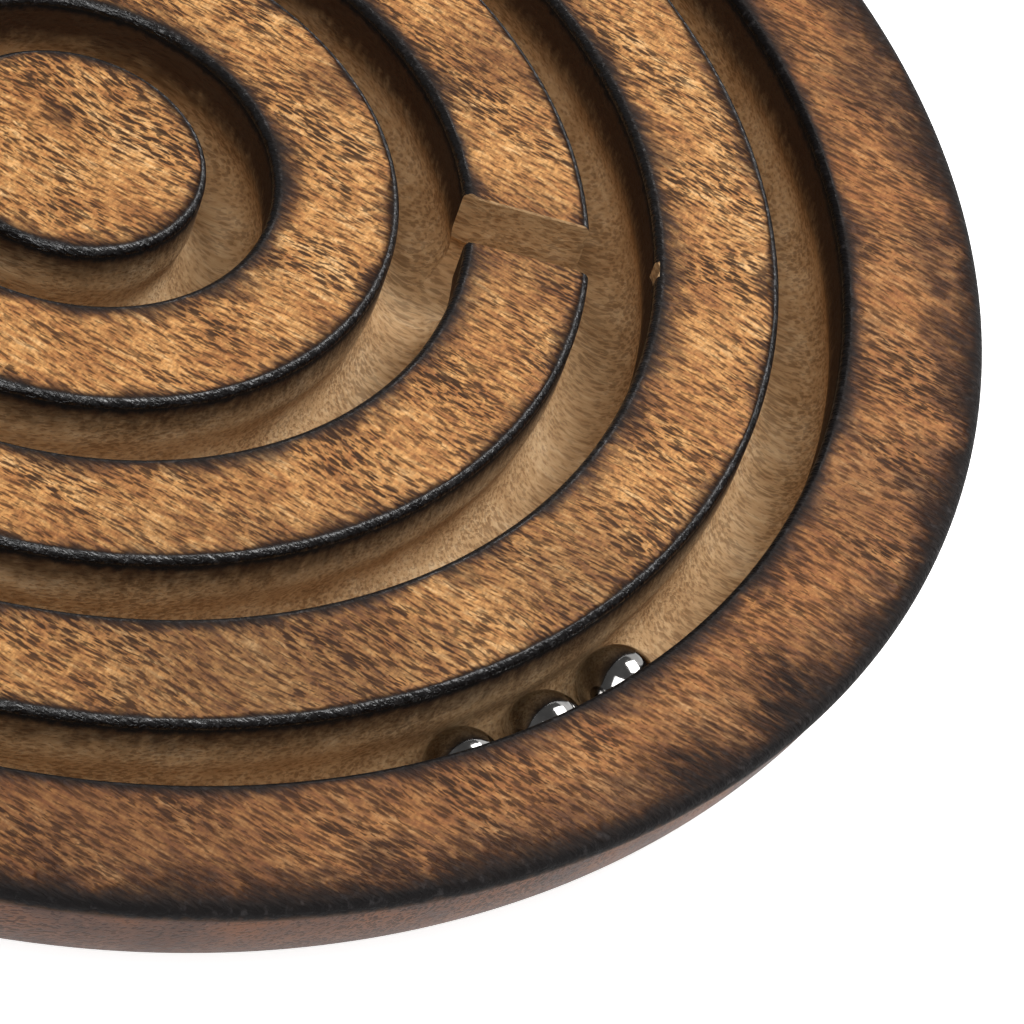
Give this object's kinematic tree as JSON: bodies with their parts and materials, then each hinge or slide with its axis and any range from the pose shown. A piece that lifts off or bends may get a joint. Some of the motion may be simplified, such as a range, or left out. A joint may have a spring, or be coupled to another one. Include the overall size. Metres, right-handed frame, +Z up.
{
  "type": "tilt maze game",
  "caption": "Round wooden tilt maze: concentric ball tracks with gates through their walls, and loose steel balls that roll in them.",
  "frame": {"origin": "centre of the disc's underside", "axes": "+Z up, out of the top face; +X from the centre towards the middle ring's gate"},
  "size_m": [0.12, 0.12, 0.012],
  "materials": {
    "stained_wood": "stained and lacquered, scorched edges",
    "bare_wood": "bare, matte",
    "ball_steel": "polished"
  },
  "bodies": {
    "disc": {"floor_board": "bare_wood", "centre_island": "stained_wood", "inner_ring": "stained_wood", "middle_ring": "stained_wood", "outer_ring": "stained_wood", "rim": "stained_wood"},
    "middle_ball": {"middle_ball": "ball_steel"},
    "left_ball": {"left_ball": "ball_steel"},
    "right_ball": {"right_ball": "ball_steel"}
  },
  "joints": [
    {"name": "middle_ball_roll", "type": "hinge", "parent": "disc", "child": "middle_ball", "pos_m": [0, 0, 0], "axis": [0, 0, 1], "continuous": true},
    {"name": "left_ball_lag", "type": "hinge", "parent": "middle_ball", "child": "left_ball", "pos_m": [0, 0, 0], "axis": [0, 0, 1], "range_deg": [-165, 0]},
    {"name": "right_ball_lead", "type": "hinge", "parent": "middle_ball", "child": "right_ball", "pos_m": [0, 0, 0], "axis": [0, 0, 1], "range_deg": [0, 165]}
  ]
}
